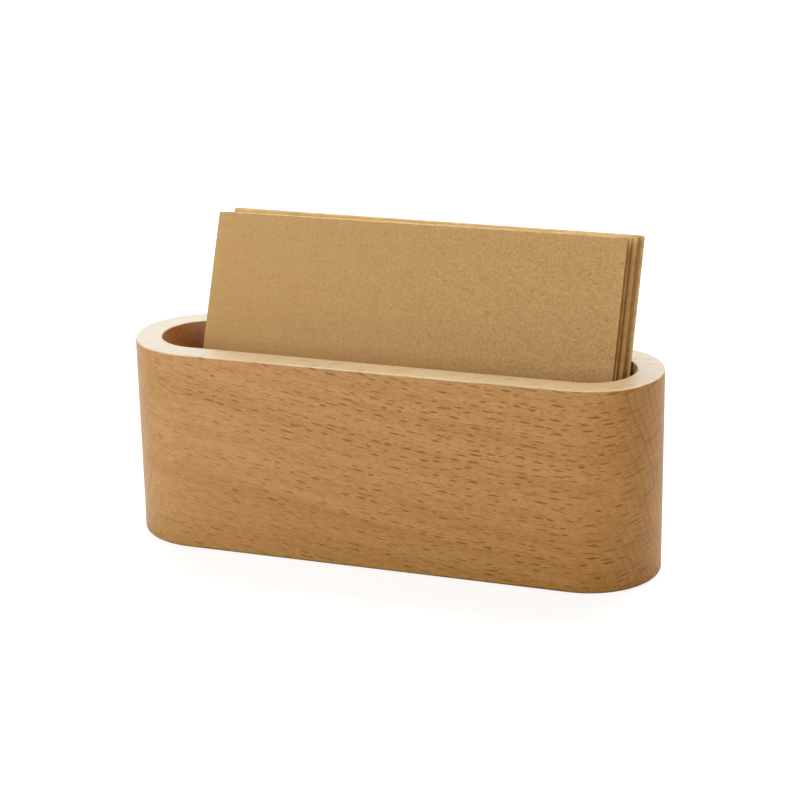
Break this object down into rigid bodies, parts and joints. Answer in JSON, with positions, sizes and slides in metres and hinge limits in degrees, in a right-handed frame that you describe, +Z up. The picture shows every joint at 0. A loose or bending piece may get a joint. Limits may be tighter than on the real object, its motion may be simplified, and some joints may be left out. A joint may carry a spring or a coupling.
{
  "type": "desk card holder",
  "caption": "Solid beech desk case for name cards: a block with full-round ends, an open routed pocket and eased edges, holding a leaning stack of plain kraft cards that lift out.",
  "frame": {"origin": "middle of the block's flat underside", "axes": "+X along the block's length, +Z up, front face towards -Y; the cards lean back towards +Y"},
  "size_m": [0.114, 0.0322, 0.0667],
  "materials": {
    "beech": "clear satin oil on sanded beech",
    "kraft_card": "uncoated kraft board"
  },
  "bodies": {
    "holder": {"holder_body": "beech"},
    "card 1": {"card_1": "kraft_card"},
    "card 2": {"card_2": "kraft_card"},
    "card 3": {"card_3": "kraft_card"},
    "card 4": {"card_4": "kraft_card"},
    "card 5": {"card_5": "kraft_card"},
    "card 6": {"card_6": "kraft_card"},
    "card 7": {"card_7": "kraft_card"},
    "card 8": {"card_8": "kraft_card"}
  },
  "joints": [
    {"name": "card_1_lift", "type": "slide", "parent": "holder", "child": "card 1", "axis": [0, 0.4005, 0.9163], "range_m": [0, 0.04]},
    {"name": "card_2_lift", "type": "slide", "parent": "holder", "child": "card 2", "axis": [0, 0.4005, 0.9163], "range_m": [0, 0.04]},
    {"name": "card_3_lift", "type": "slide", "parent": "holder", "child": "card 3", "axis": [0, 0.4005, 0.9163], "range_m": [0, 0.04]},
    {"name": "card_4_lift", "type": "slide", "parent": "holder", "child": "card 4", "axis": [0, 0.4005, 0.9163], "range_m": [0, 0.04]},
    {"name": "card_5_lift", "type": "slide", "parent": "holder", "child": "card 5", "axis": [0, 0.4005, 0.9163], "range_m": [0, 0.04]},
    {"name": "card_6_lift", "type": "slide", "parent": "holder", "child": "card 6", "axis": [0, 0.4005, 0.9163], "range_m": [0, 0.04]},
    {"name": "card_7_lift", "type": "slide", "parent": "holder", "child": "card 7", "axis": [0, 0.4005, 0.9163], "range_m": [0, 0.04]},
    {"name": "card_8_lift", "type": "slide", "parent": "holder", "child": "card 8", "axis": [0, 0.4005, 0.9163], "range_m": [0, 0.04]}
  ]
}
